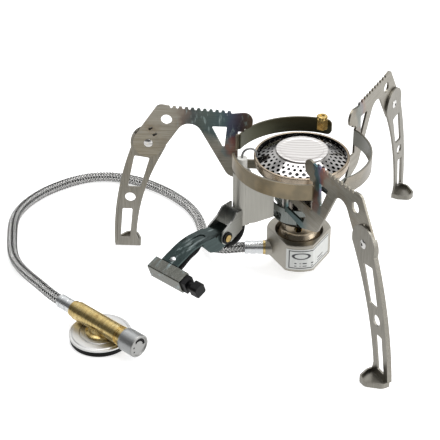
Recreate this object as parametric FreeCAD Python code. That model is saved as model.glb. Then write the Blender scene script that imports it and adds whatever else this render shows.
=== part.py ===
import FreeCAD, Part

"""Remote canister stove: burner on three folding legs, gas hose, canister valve and piezo igniter.

Row frame: millimetres, +Z up, the burner's axis is the Z axis and the feet stand on z = 0.
Local frames used below:
  arm frame    x runs out along one arm, y across it (anticlockwise from above), z up
  lever frame  x runs out along the igniter lever from the electrode, y along its pivot pin, z up
  box frame    x runs down the igniter box's sloping top from its back edge, y along the box, z off its top
  valve frame  x runs from the canister socket's axis to the control knob, z up
"""
import math
import os

Vector = FreeCAD.Vector
X_AXIS = Vector(1, 0, 0)
Y_AXIS = Vector(0, 1, 0)
Z_AXIS = Vector(0, 0, 1)

# --- driving dimensions -------------------------------------------------------------------
ARM_ANGLES = {"right": 59.3, "left": 176.7, "front": 298.2}
LEG_SPLAY = {"right": 2.2, "left": 0.0, "front": 6.6}   # degrees each leg leans outwards
ARM_OFFSET = 17.3            # arm plates stand this far beside the burner's axis
SHEET = 1.5                  # arm and leg sheet thickness
WELD_GAP = 0.02              # slot play beside a welded tongue
RUNNING = 0.05               # radial clearance of every turning fit

RING_RADIUS = 46.0           # outside of the three arcs that make the wind ring
RING_TOP = 92.0
RING_HEIGHT = 11.0
RING_SWEEP = 92.0            # degrees of ring on each arm
BEND_RADIUS = 2.25           # mid-sheet radius where an arm turns into its arc

TOOTH_COUNT = 11
TOOTH_DEPTH = 1.8
LEG_PIVOT = (103.0, 84.0)    # arm frame x, z of the leg rivet
ARM_END_RADIUS = 10.5
LEG_TOP_RADIUS = 12.0
LEG_FLANGE = 1.4             # thickness of the leg's stiffening flange
FLANGE_DEPTH = 3.25
FLANGE_STOP = math.radians(40)   # the flange runs round the leg's top up to here
LEG_INNER = 110.9            # arm frame x of the foot's two ends on an upright leg
LEG_OUTER = 128.8
LEG_PLAY = 0.1               # between arm and leg
FOOT_REACH = 13.5            # foot tray, sideways from the leg
FOOT_RIM = 3.6
FOOT_SHEET = 1.2
RIVET_RADIUS = 2.0
RIVET_HEAD = 3.1
ROUND_HOLE = 3.7             # round lightening holes of arm and leg

POST_BEARING = 68.0          # direction of the brass post on the wind ring

BURNER_RADIUS = 31.6
BURNER_RIM_Z = 88.0
CAP_RADIUS = 17.4
CAP_TOP = 92.4
CAP_UNDERSIDE = 91.4
SCREEN_TOP = 91.0            # flame plate where it meets the cap
NECK_RADIUS = 12.0           # mixing tube
NECK_BOTTOM = 25.0
NECK_TOP = 72.5
JET_THREAD = 3.0
CARRIER_RADIUS = 20.8
CARRIER_BOTTOM = 40.0
CARRIER_TOP = 57.0
HOLE_ROWS = ((19.7, 0.8), (22.5, 1.05), (25.5, 1.25), (28.3, 1.35))   # distance, hole radius
HOLES_PER_ROW = 36

BLOCK_RADIUS = 22.0
BLOCK_FLAT = 17.6            # burner axis to each flat
BLOCK_BOTTOM = 9.0
BLOCK_TOP = 30.0
INLET_Y = 1.5
INLET_Z = 14.0
INLET_FACE = -22.6           # end of the block's inlet boss
INLET_THREAD = 3.0
HOSE_START = -24.2

ELECTRODE_X = -39.3
ELECTRODE_Y = -9.0
SLEEVE_RADIUS = 6.0
SLEEVE_BOTTOM = 42.0
SLEEVE_TOP = 80.5
LEVER_ANGLE = -132.5
LEVER_CENTRE = -2.5          # lever frame y of the lever's middle
LEVER_PIVOT = (19.4, 40.0)   # lever frame x, z of the pivot pin
LEVER_PIN_RADIUS = 2.0
LEVER_SHEET = 1.2
LEVER_START = (12.5, 43.9)   # lever frame x, z of the web's top surface: at the electrode,
LEVER_BEND = (47.5, 47.5)    # where its two slopes meet
BOX_EDGE = (66.4, 40.8)      # and at the box's top back edge
LEVER_BEND_RADIUS = 42.0
LEVER_HALF = 6.85            # half the strip's width
CHANNEL_HALF = 5.5           # half the width over the lever's side plates
FORK_GAP = 5.7               # lever's middle to the inside of each fork cheek
FORK_SHEET = 1.2
BOX_PITCH = math.degrees(math.atan2(LEVER_BEND[1] - BOX_EDGE[1], BOX_EDGE[0] - LEVER_BEND[0]))
BOX_WIDTH = 9.4              # down the slope
BOX_DEPTH = 11.0
BOX_LENGTH = 28.0
BOX_WALL = 0.8
BOX_TAB = 7.0                # tab under the lever's end
BOX_RIVET_RADIUS = 1.2
BOX_RIVET_X = -3.4           # box frame
PLUNGER_RADIUS = 3.2
BUTTON_TRAVEL = 3.0
PIEZO_LENGTH = 31.0
PIEZO_END = BOX_LENGTH * -0.5 + 1.0 + PIEZO_LENGTH
PIEZO_BORE_START = 5.0
SEAM = 0.02                  # play between riveted sheets
FORK_START = 0.5             # lever frame x where the fork's cheeks end beside the sleeve
WASHER = 1.0
WASHER_RADIUS = 4.2
RIB_HALF = 2.4
RIB_DEPTH = 0.55             # groove pressed into the lever's top

HOSE_RADIUS = 3.75
HOSE_BORE = 2.2
FERRULE_RADIUS = 4.6
FERRULE_LENGTH = 12.5
VALVE_X = -130.0
VALVE_Y = -82.5
VALVE_Z = 12.0
VALVE_ANGLE = -42.1
VALVE_RADIUS = 6.2
VALVE_TAIL = -20.2           # valve frame x of the barrel's hose end
VALVE_NOSE = 22.5            # valve frame x of the knob end
VALVE_COLLAR = 3.6           # collar between barrel and hose
SPIGOT_LENGTH = 15.0
SOCKET_RADIUS = 5.3          # thread wall of the 7/16 in canister socket
SOCKET_WALL = 1.7
SOCKET_MOUTH = 1.0
SOCKET_TOP = 7.0
DISC_RADIUS = 20.0
DISC_TOP = 5.5
SEAL_HEIGHT = 4.0
KNOB_RADIUS = 7.6
KNOB_LENGTH = 12.5
SPINDLE_RADIUS = 2.0
SPINDLE_REACH = 9.0          # spindle end beyond the barrel, inside the knob
GAS_WAY = 1.2                # bore radius of every gas passage
RING_SEAT = 9.0              # valve frame x of the spindle's rubber ring
SEAL_POCKET = 4.3            # radius of the pocket above the canister socket
POCKET_TOP = 9.2
OPENER_RADIUS = 0.9          # pin that opens the canister's own valve
OPENER_TOP = 10.4

# gas hose: centre line points between the two ferrules, row frame
HOSE_PATH = (
    (-49.5, 1.5, 13.0), (-58.5, 6.5, 11.0), (-63.5, 18.0, 8.5), (-66.0, 34.0, 6.0), (-69.0, 51.5, 4.5),
    (-75.5, 68.0, 3.9), (-88.0, 85.0, 3.85), (-106.5, 101.0, 3.85), (-125.0, 110.0, 3.85),
    (-146.5, 112.5, 3.85), (-169.5, 103.0, 3.85), (-191.5, 81.5, 3.85), (-201.0, 60.0, 3.85),
    (-200.5, 28.5, 3.9), (-195.5, 1.5, 5.0), (-185.0, -19.5, 7.3), (-173.0, -37.5, 10.0),
)


# --- helpers ------------------------------------------------------------------------------
def corner_wire(corners, place):
    """Closed wire through corners (u, v) or (u, v, radius) with tangent arcs; place maps u, v to 3-D."""
    points = [(Vector(c[0], c[1], 0), c[2] if len(c) > 2 else 0) for c in corners]
    spans = []
    for i, (corner, radius) in enumerate(points):
        before = (points[i - 1][0] - corner).normalize()
        after = (points[(i + 1) % len(points)][0] - corner).normalize()
        if radius == 0:
            spans.append((corner, None, corner))
            continue
        half = before.getAngle(after) / 2
        reach = radius / math.tan(half)
        middle = (before + after).normalize() * (radius / math.sin(half) - radius)
        spans.append((corner + before * reach, corner + middle, corner + after * reach))
    edges = []
    for i, (start, middle, end) in enumerate(spans):
        if middle is not None:
            edges.append(Part.Arc(*(place(p.x, p.y) for p in (start, middle, end))).toShape())
        following = spans[(i + 1) % len(spans)][0]
        if end.distanceToPoint(following) > 1e-4:
            edges.append(Part.makeLine(place(end.x, end.y), place(following.x, following.y)))
    return Part.Wire(edges)


def upright(y):
    """Place u, v as x, z on the plane at y."""
    return lambda u, v: Vector(u, y, v)


def level(z):
    """Place u, v as x, y at height z."""
    return lambda u, v: Vector(u, v, z)


def slab(wire, direction):
    return Part.Face(wire).extrude(direction)


def plate(corners, y, thickness):
    """Upright sheet with outline x, z, from y towards +Y."""
    return slab(corner_wire(corners, upright(y)), Vector(0, thickness, 0))


def prism(corners, z, height):
    """Level sheet with outline x, y, from z upwards."""
    return slab(corner_wire(corners, level(z)), Vector(0, 0, height))


def rod(radius, start, end):
    axis = end - start
    return Part.makeCylinder(radius, axis.Length, start, axis)


def post(radius, bottom, top, x=0.0, y=0.0):
    return Part.makeCylinder(radius, top - bottom, Vector(x, y, bottom))


def pin(radius, x, z, start, end):
    """Cylinder along Y."""
    return rod(radius, Vector(x, start, z), Vector(x, end, z))


def block(low, high):
    size = Vector(*high) - Vector(*low)
    return Part.makeBox(size.x, size.y, size.z, Vector(*low))


def turned(profile):
    """Solid of revolution about Z from corners (radius, z) or (radius, z, fillet)."""
    face = Part.Face(corner_wire(profile, upright(0)))
    return face.revolve(Vector(0, 0, 0), Z_AXIS, 360)


def dome(radius, height, x, z, y, side):
    """Domed rivet head on the plane at y; side is +1 or -1 along Y."""
    sphere_radius = (radius * radius + height * height) / (2 * height)
    centre = Vector(x, y + side * (height - sphere_radius), z)
    ball = Part.makeSphere(sphere_radius, centre)
    return ball.common(pin(radius, x, z, y, y + side * height))


def join(*shapes):
    return shapes[0].fuse(list(shapes[1:])).removeSplitter()


def moved(shape, x, y, angle):
    """Place a shape from a local frame whose origin is at x, y, turned about Z."""
    placed = shape.copy()
    turn = FreeCAD.Placement(Vector(x, y, 0), FreeCAD.Rotation(Z_AXIS, angle))
    placed.transformShape(turn.toMatrix())
    return placed


def on_arm(shape, angle):
    return moved(shape, 0, 0, angle)


def on_lever(shape):
    return moved(shape, ELECTRODE_X, ELECTRODE_Y, LEVER_ANGLE)


def on_box(shape):
    tilted = shape.copy()
    slope = FreeCAD.Placement(Vector(BOX_EDGE[0], 0, BOX_EDGE[1]), FreeCAD.Rotation(Y_AXIS, BOX_PITCH))
    tilted.transformShape(slope.toMatrix())
    return on_lever(tilted)


def on_valve(shape):
    return moved(shape, VALVE_X, VALVE_Y, VALVE_ANGLE)


def swept(path_edges, radius, start, heading):
    """Round bar along a path that leaves start in the direction heading."""
    circle = Part.Wire(Part.makeCircle(radius, start, heading))
    return Part.Wire(path_edges).makePipeShell([circle], True, False)


def curve_through(points, first, last):
    """Smooth curve through points, with a unit direction at each end."""
    curve = Part.BSplineCurve()
    curve.interpolate(Points=points, InitialTangent=first, FinalTangent=last, Scale=False)
    return curve.toShape()


# --- arms and legs ------------------------------------------------------------------------
def tooth_edge(start, end):
    """Serrated top edge from the outer to the inner end, as corner points."""
    run = Vector(end[0] - start[0], end[1] - start[1], 0)
    pitch = run.Length / TOOTH_COUNT
    along = run.normalize()
    down = Vector(along.y, -along.x, 0) * -TOOTH_DEPTH
    corners = []
    for i in range(TOOTH_COUNT):
        for share, depth in ((0.0, 0), (0.42, 0), (0.6, 1), (0.86, 1)):
            point = Vector(*start, 0) + along * (pitch * (i + share)) + down * depth
            corners.append((point.x, point.y, 0.35))
    return corners


def arm_plate():
    """One stamped arm: serrated pot rest, outer bar to the leg rivet, strut and welded tongue."""
    face_y = -ARM_OFFSET - SHEET / 2
    end_x, end_z = LEG_PIVOT
    bar = Vector(0.5592, -0.829, 0)
    side = Vector(0.829, 0.5592, 0)
    tip = Vector(end_x, end_z, 0) + bar * (ARM_END_RADIUS + 0.05)
    outer = tip + side * ARM_END_RADIUS
    inner = tip - side * ARM_END_RADIUS
    end_round = ARM_END_RADIUS - 0.05
    root_x = 42.8
    outline = [(95.6, 113.6, 5.0), (outer.x, outer.y, end_round), (inner.x, inner.y, end_round)]
    outline += [(74.4, 107.6, 8.6), (49.8, 61.0, 8.0), (31.0, 54.0, 4.0), (9.5, 56.0, 1.0)]
    outline += [(9.5, 73.0, 1.0), (root_x, 73.0, 1.5), (root_x, 94.6, 0.5), (38.6, 94.6, 1.0)]
    outline += [(38.6, 96.8, 0.5), (32.9, 96.9, 5.0), (32.9, 109.2, 6.0)]
    outline += tooth_edge((89.9, 112.5), (45.4, 109.2))[::-1]
    body = plate(outline, face_y, SHEET)
    cuts = [
        plate([(60.5, 98.0, 0.8), (52.0, 80.4, 0.8), (50.2, 98.0, 0.8)], face_y, SHEET),
        plate([(12.0, 59.5, 0.8), (33.0, 59.0, 0.8), (36.0, 66.5, 0.8), (12.0, 66.5, 0.8)], face_y, SHEET),
        pin(ROUND_HOLE, 90.4, 102.2, face_y, face_y + SHEET),
        pin(RIVET_RADIUS, end_x, end_z, face_y, face_y + SHEET),
        block((40.0, face_y, RING_TOP - RING_HEIGHT - 0.8), (44.2, face_y + SHEET, RING_TOP + 0.8)),
    ]
    for x, z in ((98.5, 90.8), (101.2, 95.2)):
        cuts.append(pin(0.95, x - 0.6, z + 0.4, face_y, face_y + SHEET))
        cuts.append(pin(0.95, x + 0.6, z - 0.4, face_y, face_y + SHEET))
    return body.cut(cuts)


def ring_arc():
    """Third of the wind ring, bent out of the arm's plate and running clockwise round the burner."""
    half = SHEET / 2
    mid_radius = RING_RADIUS - half
    bend_y = -ARM_OFFSET - BEND_RADIUS
    bend_x = math.sqrt((mid_radius + BEND_RADIUS) ** 2 - bend_y ** 2)
    bend = Vector(bend_x, bend_y, 0)
    inward = Vector(-bend_x, -bend_y, 0).normalize()
    start_angle = math.atan2(bend_y, bend_x)
    end_angle = start_angle - math.radians(RING_SWEEP)

    def on_circle(radius, share):
        angle = start_angle + (end_angle - start_angle) * share
        return Vector(radius * math.cos(angle), radius * math.sin(angle), 0)

    def bend_arc(radius):
        sideways = (inward + Vector(0, 1, 0)).normalize()
        return bend + Vector(0, radius, 0), bend + sideways * radius, bend + inward * radius

    stub_x = 50.0
    big = bend_arc(BEND_RADIUS + half)
    small = bend_arc(BEND_RADIUS - half)
    inside = RING_RADIUS - SHEET
    edges = [
        Part.makeLine(Vector(stub_x, big[0].y, 0), big[0]),
        Part.Arc(*big).toShape(),
        Part.Arc(on_circle(inside, 0), on_circle(inside, 0.5), on_circle(inside, 1)).toShape(),
        Part.makeLine(on_circle(inside, 1), on_circle(RING_RADIUS, 1)),
        Part.Arc(on_circle(RING_RADIUS, 1), on_circle(RING_RADIUS, 0.5), on_circle(RING_RADIUS, 0)).toShape(),
        Part.Arc(*small[::-1]).toShape(),
        Part.makeLine(small[0], Vector(stub_x, small[0].y, 0)),
        Part.makeLine(Vector(stub_x, small[0].y, 0), Vector(stub_x, big[0].y, 0)),
    ]
    strip = slab(Part.Wire(edges), Vector(0, 0, RING_HEIGHT))
    free_end = on_circle(mid_radius, 1)
    corners = [e for e in strip.Edges if is_free_corner(e, free_end)]
    strip = strip.makeFillet(3.5, corners)
    strip.translate(Vector(0, 0, RING_TOP - RING_HEIGHT))
    return strip


def is_free_corner(edge, free_end):
    """True for the two short level edges across the sheet at the ring arc's free end."""
    centre = edge.CenterOfMass
    near = math.hypot(centre.x - free_end.x, centre.y - free_end.y) < 0.1
    return near and abs(edge.Length - SHEET) < 0.01


def pot_arm():
    return join(arm_plate(), ring_arc())


def leaned(points, splay):
    """Points (x, z) of a leg moved outwards, so that it leans by splay and still ends at z = 0."""
    slope = math.tan(math.radians(splay))
    return [(p[0] + (LEG_PIVOT[1] - p[1]) * slope, p[1], *p[2:]) for p in points]


def leg_outline(shrink, splay):
    """Leg side outline in x, z; shrink moves the outer edge and the round top inwards."""
    top = LEG_TOP_RADIUS - shrink

    def on_top(angle):
        turn = math.radians(angle)
        return Vector(LEG_PIVOT[0] + top * math.cos(turn), 0, LEG_PIVOT[1] + top * math.sin(turn))

    low_points = [(LEG_OUTER - shrink, 0), (LEG_OUTER - 4.0 - shrink, 45.0), (94.2, 75.2), (105.6, 49.0),
                  (113.6, 9.0), (LEG_INNER, 0)]
    outer_end, outer_middle, shoulder, inner_middle, ankle, inner_end = (
        Vector(x, 0, z) for x, z in leaned(low_points, splay))
    return [
        Part.Arc(outer_end, outer_middle, on_top(-15)).toShape(),
        Part.Arc(on_top(-15), on_top(85), on_top(195)).toShape(),
        Part.makeLine(on_top(195), shoulder),
        Part.Arc(shoulder, inner_middle, ankle).toShape(),
        Part.makeLine(ankle, inner_end),
        Part.makeLine(inner_end, outer_end),
    ]


def leg_flange(splay):
    """Flange bent from the leg's outer edge, from the foot to a stop round the top."""
    upward = Vector(0, FLANGE_DEPTH, 0)
    whole = Part.Face(Part.Wire(leg_outline(0, splay))).extrude(upward)
    core = Part.Face(Part.Wire(leg_outline(LEG_FLANGE, splay))).extrude(upward)
    pivot_x, pivot_z = LEG_PIVOT
    reach = 30.0
    stop_corner = (pivot_x + reach * math.cos(FLANGE_STOP), pivot_z + reach * math.sin(FLANGE_STOP))
    low_end = leaned([(118.0, 3.0)], splay)[0]
    beyond = 160.0
    keep = [(pivot_x, pivot_z), stop_corner, (beyond, pivot_z + reach), (beyond, low_end[1]), low_end]
    return whole.cut(core).common(plate(keep, 0, FLANGE_DEPTH))


def folding_leg(splay):
    """Stamped leg: plate beside the arm, stiffening flange on its outer edge, dished foot at its end."""
    face_y = -ARM_OFFSET - SHEET / 2 - LEG_PLAY - SHEET
    sheet = Part.Face(Part.Wire(leg_outline(0, splay))).extrude(Vector(0, SHEET, 0))
    body = sheet.fuse(leg_flange(splay))
    body.translate(Vector(0, face_y, 0))
    upper_window = [(112.9, 73.2, 1.0), (118.3, 48.2, 1.0), (109.6, 48.2, 1.0), (102.6, 71.6, 1.0)]
    lower_window = [(122.6, 30.8, 1.0), (124.9, 6.4, 1.0), (118.2, 6.4, 1.0), (115.6, 30.8, 1.0)]
    hole_x, hole_z = leaned([(116.9, 39.9)], splay)[0]
    cuts = [
        plate(leaned(upper_window, splay), face_y, SHEET),
        plate(leaned(lower_window, splay), face_y, SHEET),
        pin(ROUND_HOLE, hole_x, hole_z, face_y, face_y + SHEET),
        pin(RIVET_RADIUS + RUNNING, *LEG_PIVOT, face_y, face_y + SHEET),
    ]
    foot_shift = leaned([(0, 0)], splay)[0][0]
    foot = foot_tray(face_y + SHEET)
    foot.translate(Vector(foot_shift, 0, 0))
    return join(body.cut(cuts), foot)


def foot_tray(y):
    """Dished foot, bent sideways from the leg's end."""
    tip = y - FOOT_REACH
    outline = [(LEG_INNER, y), (LEG_OUTER, y), (LEG_OUTER, y - 5.0, 5.0), (121.5, tip, 4.5), (114.5, tip, 4.5),
               (LEG_INNER, y - 5.0, 4.0)]
    near, far = LEG_INNER + FOOT_SHEET, LEG_OUTER - FOOT_SHEET
    inside = [(near, y), (far, y), (far, y - 4.9, 3.8), (120.7, tip + FOOT_SHEET, 3.4),
              (115.3, tip + FOOT_SHEET, 3.4), (near, y - 4.9, 2.8)]
    return prism(outline, 0, FOOT_RIM).cut(prism(inside, FOOT_SHEET, FOOT_RIM))


def leg_rivet():
    """Tubular rivet: held by the arm, turning in the leg."""
    x, z = LEG_PIVOT
    arm_y = -ARM_OFFSET + SHEET / 2
    leg_y = -ARM_OFFSET - SHEET / 2 - LEG_PLAY - SHEET - RUNNING
    head_height, hollow_radius, hollow_depth = 1.0, 1.0, 1.5
    shank = pin(RIVET_RADIUS, x, z, leg_y, arm_y)
    arm_head = dome(RIVET_HEAD, head_height, x, z, arm_y, 1)
    leg_head = dome(RIVET_HEAD, head_height, x, z, leg_y, -1)
    hollow = pin(hollow_radius, x, z, leg_y - 2 * head_height, leg_y + hollow_depth)
    return join(shank, arm_head, leg_head).cut(hollow)


# --- burner -------------------------------------------------------------------------------
def valve_block():
    """Cast base: three flats parallel to the arms, open cup on top, gas way from the inlet to the jet."""
    body = turned([(0, BLOCK_BOTTOM), (BLOCK_RADIUS, BLOCK_BOTTOM, 1.2), (BLOCK_RADIUS, BLOCK_TOP, 0.6),
                   (0, BLOCK_TOP)])
    for angle in ARM_ANGLES.values():
        beyond = block((BLOCK_FLAT, -30, BLOCK_BOTTOM - 1), (40, 30, BLOCK_TOP + 1))
        body = body.cut(moved(beyond, 0, 0, angle - 90))
    inlet_end = -10.0
    body = join(body, rod(5.2, inlet_at(INLET_FACE), inlet_at(inlet_end)))
    cup = turned([(0, NECK_BOTTOM), (15.2, NECK_BOTTOM, 0.3), (16.4, BLOCK_TOP), (0, BLOCK_TOP)])
    jet_bottom = 17.0
    return body.cut([
        cup,
        rod(INLET_THREAD, inlet_at(INLET_FACE), inlet_at(inlet_end)),
        rod(GAS_WAY, inlet_at(inlet_end - 1.0), inlet_at(0)),
        post(JET_THREAD, jet_bottom, NECK_BOTTOM + 1.0),
        post(GAS_WAY, INLET_Z - 1.0, jet_bottom + 1.0),
    ])


def block_label():
    """Blank foil plate wrapped over the block's round front and its right-hand flat."""
    foil = 0.25
    low, high = 11.5, 27.5
    above = 40.0
    flat_end = 9.0
    skin = turned([(BLOCK_RADIUS, low), (BLOCK_RADIUS + foil, low), (BLOCK_RADIUS + foil, high),
                   (BLOCK_RADIUS, high)])
    flat_angle = ARM_ANGLES["right"] - 90
    half_flat = math.degrees(math.acos(BLOCK_FLAT / BLOCK_RADIUS))
    start = ARM_ANGLES["left"] + 30 + half_flat + 1.2
    finish = flat_angle + 360 - half_flat
    reach = 60.0
    wedge = Part.makePolygon([
        Vector(0, 0, 0), bearing(reach, start), bearing(reach, (start + finish) / 2), bearing(reach, finish),
        Vector(0, 0, 0)])
    skin = skin.common(Part.Face(wedge).extrude(Vector(0, 0, above)))
    beyond_flat = block((BLOCK_FLAT, -reach / 2, 0), (reach, reach / 2, above))
    panel = block((BLOCK_FLAT, -BLOCK_RADIUS, low), (BLOCK_FLAT + foil, flat_end, high))
    panel = moved(panel, 0, 0, flat_angle).common(post(BLOCK_RADIUS + foil, 0, above))
    return join(skin.cut(moved(beyond_flat, 0, 0, flat_angle)), panel)


def bearing(distance, angle):
    turn = math.radians(angle)
    return Vector(distance * math.cos(turn), distance * math.sin(turn), 0)


def jet():
    """Brass gas jet, screwed into the block."""
    bottom, shoulder, top, tip = 18.0, NECK_BOTTOM + 1.0, 29.0, 32.0
    body = turned([(0, bottom), (JET_THREAD, bottom), (JET_THREAD, shoulder), (5.0, shoulder), (5.0, top, 0.4),
                   (2.2, top), (2.2, tip, 0.5), (0, tip)])
    return body.cut([post(GAS_WAY, bottom, top), post(0.25, top - 1.0, tip + 1.0)])


def mixing_tube():
    """Thin tube from the block up to the burner, flared at its foot, with four air holes."""
    wall = 1.2
    flare = 14.8
    inside = NECK_RADIUS - wall
    tube = turned([
        (flare - wall, NECK_BOTTOM), (flare, NECK_BOTTOM), (flare, 27.0), (NECK_RADIUS, 32.5, 4.0),
        (NECK_RADIUS, NECK_TOP), (inside, NECK_TOP), (inside, 32.3, 4.0), (flare - wall, 26.8)])
    hole_z, hole_radius = 37.0, 2.6
    holes = []
    for angle in (-97, -7, 83, 173):
        out = bearing(NECK_RADIUS + 3, angle)
        holes.append(rod(hole_radius, Vector(0, 0, hole_z), out + Vector(0, 0, hole_z)))
    return tube.cut(holes)


def carrier_cup():
    """Windowed cup on the mixing tube; the three arm tongues stand in slots in its wall."""
    wall = 1.2
    radius = CARRIER_RADIUS
    collar_radius, collar_top = NECK_RADIUS + wall, 44.0
    body = turned([
        (NECK_RADIUS, CARRIER_BOTTOM), (14.5, CARRIER_BOTTOM, 2.0), (radius, 46.0, 2.5), (radius, CARRIER_TOP),
        (radius - wall, CARRIER_TOP), (radius - wall, 46.5, 2.0), (14.2, 41.3, 1.5), (collar_radius, 41.3, 0.3),
        (collar_radius, collar_top), (NECK_RADIUS, collar_top),
    ])
    window = [(-4.6, 43.5, 1.0), (4.6, 43.5, 1.0), (5.6, 52.5, 1.0), (-5.6, 52.5, 1.0)]
    slot_half = SHEET / 2 + WELD_GAP
    slot = block((6, -ARM_OFFSET - slot_half, 55.0), (40, -ARM_OFFSET + slot_half, CARRIER_TOP + 1))
    cuts = []
    for angle in ARM_ANGLES.values():
        cuts.append(on_arm(slot, angle))
        for shift in (-52, 8):
            cuts.append(moved(plate(window, NECK_RADIUS + 2.6, 10.0), 0, 0, angle + shift))
    return body.cut(cuts)


def burner_cup():
    """Round housing under the flame holes, with a rolled rim."""
    wall = 1.3
    side = BURNER_RADIUS - 0.6
    rolled = 85.6
    outside = [(NECK_RADIUS, 68.0), (14.6, 68.0), (14.6, 74.6, 1.0), (20.0, 75.0, 3.0), (side, 80.5, 4.0)]
    outside += [(side, rolled), (BURNER_RADIUS, rolled), (BURNER_RADIUS, BURNER_RIM_Z, 0.6)]
    inside = [(side - wall, BURNER_RIM_Z, 0.6), (side - wall, 81.4, 3.0), (19.6, 76.2, 2.5), (13.0, 75.8, 0.5)]
    return turned(outside + inside + [(13.0, NECK_TOP), (NECK_RADIUS, NECK_TOP)])


def burner_screen():
    """Domed flame plate with staggered rows of holes."""
    edge = BURNER_RADIUS - 1.9
    inner = 15.0
    shell = turned([
        (inner, 90.4), (CAP_RADIUS - 0.4, 90.4, 1.0), (edge - 0.6, 85.6, 0.8), (edge, 85.6), (edge, 86.3),
        (edge - 0.7, 86.3, 0.8), (CAP_RADIUS + 0.1, SCREEN_TOP, 1.0), (inner, SCREEN_TOP),
    ])
    drills = []
    for row, (distance, radius) in enumerate(HOLE_ROWS):
        for i in range(HOLES_PER_ROW):
            centre = bearing(distance, 360.0 / HOLES_PER_ROW * (i + 0.5 * (row % 2)))
            drills.append(post(radius, 84.0, 92.0, centre.x, centre.y))
    return shell.cut(Part.makeCompound(drills))


def burner_cap():
    """Dished disc that closes the middle of the burner."""
    dish = CAP_TOP - 0.25
    seat = CAP_RADIUS - 1.9
    return turned([
        (0, CAP_UNDERSIDE), (seat, CAP_UNDERSIDE), (seat, SCREEN_TOP), (CAP_RADIUS, SCREEN_TOP),
        (CAP_RADIUS, CAP_TOP, 0.8), (CAP_RADIUS - 2.6, CAP_TOP, 2.0), (CAP_RADIUS - 3.6, dish, 2.0), (0, dish),
    ])


def cap_stud():
    """Centre stud that pulls the cap and the flame plate down on the cup."""
    bottom = NECK_TOP
    top = bottom + 1.5
    nut_height = 1.6
    opening = prism([(3.5, -2.0), (10.0, -5.0), (10.0, 5.0), (3.5, 2.0)], bottom, top - bottom)
    spider = post(12.8, bottom, top).cut([moved(opening, 0, 0, 120 * i) for i in range(3)])
    return join(post(2.0, top, CAP_UNDERSIDE), spider, post(3.2, top, top + nut_height))


def ring_post():
    """Brass hexagonal post with a wide round head, on the inside of the left arm's ring arc."""
    across = 7.0
    shoulder = 94.4
    hexagon = [(across / math.sqrt(3) * math.cos(math.radians(60 * i)),
                across / math.sqrt(3) * math.sin(math.radians(60 * i))) for i in range(6)]
    head = turned([(0, shoulder), (3.8, shoulder), (3.8, 96.5, 0.7), (1.7, 96.5), (1.7, 95.9), (0, 95.9)])
    body = join(prism(hexagon, 87.0, shoulder - 87.0), head)
    seating = 0.15
    centre = bearing(RING_RADIUS - SHEET - across / 2 + seating, POST_BEARING)
    turned_flat = moved(body, centre.x, centre.y, POST_BEARING + 30)
    return turned_flat.cut(ring_bore())


def ring_bore():
    """Everything outside the inner face of the wind ring."""
    outside = post(RING_RADIUS + 20, 60.0, 120.0)
    return outside.cut(post(RING_RADIUS - SHEET, 60.0, 120.0))


# --- igniter ------------------------------------------------------------------------------
def electrode_sleeve():
    """Rolled sleeve with a flap that is welded to the carrier cup."""
    flap_angle = math.degrees(math.atan2(-ELECTRODE_Y, -ELECTRODE_X))
    centre_distance = math.hypot(ELECTRODE_X, ELECTRODE_Y)
    outline = [(1.0, 43.4), (8.0, 43.4, 2.0), (centre_distance, 51.0), (centre_distance, 75.0), (1.0, 75.0)]
    flap = plate(outline, -SLEEVE_RADIUS, 1.0)
    body = join(post(SLEEVE_RADIUS, SLEEVE_BOTTOM, SLEEVE_TOP), flap)
    body = body.cut(post(SLEEVE_RADIUS - 1.0, SLEEVE_BOTTOM - 1, SLEEVE_TOP + 1))
    placed = moved(body, ELECTRODE_X, ELECTRODE_Y, flap_angle)
    return placed.cut([post(CARRIER_RADIUS, 30.0, 90.0)])


def electrode_ceramic():
    body = turned([
        (0.75, 50.0), (SLEEVE_RADIUS - 1.0, 50.0, 0.5), (SLEEVE_RADIUS - 1.0, 58.0, 0.5), (3.4, 60.0),
        (3.4, 91.0, 0.5), (0.75, 91.0),
    ])
    return moved(body, ELECTRODE_X, ELECTRODE_Y, 0)


def electrode_wire():
    """Spark wire: up out of the ceramic, over and down to just above the flame plate."""
    towards = Vector(-ELECTRODE_X, -ELECTRODE_Y, 0).normalize()
    base = Vector(ELECTRODE_X, ELECTRODE_Y, 0)

    def at(out, z):
        return base + towards * out + Vector(0, 0, z)

    bend = 4.8
    rise = Part.makeLine(at(0, 60.0), at(0, 92.2))
    hook = Part.Arc(at(0, 92.2), at(bend, 92.2 + bend), at(2 * bend, 92.2)).toShape()
    drop = Part.makeLine(at(2 * bend, 92.2), at(2 * bend, 90.4))
    return swept([rise, hook, drop], 0.75, at(0, 60.0), Z_AXIS)


def igniter_fork():
    """Bent bracket on the sleeve that holds the lever's pivot pin."""
    x, z = LEVER_PIVOT
    round_end = 4.8
    outline = [(x + round_end, z - round_end, 4.75), (x + round_end, z + round_end, 4.75), (14.0, 50.0, 3.0),
               (9.5, 54.5, 1.0), (0, 54.5), (0, 41.5), (x - round_end, z - round_end, 4.0)]
    near = plate(outline, LEVER_CENTRE + FORK_GAP, FORK_SHEET)
    far = plate(outline, LEVER_CENTRE - FORK_GAP - FORK_SHEET, FORK_SHEET)
    back = block((5.4, LEVER_CENTRE - FORK_GAP, 39.0), (6.8, LEVER_CENTRE + FORK_GAP, 54.5))
    body = join(near, far, back)
    behind = block((-8, -20, 30), (FORK_START, 20, 60))
    return on_lever(body.cut([post(SLEEVE_RADIUS, 30, 60), pin(LEVER_PIN_RADIUS, x, z, -20, 20), behind]))


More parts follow.
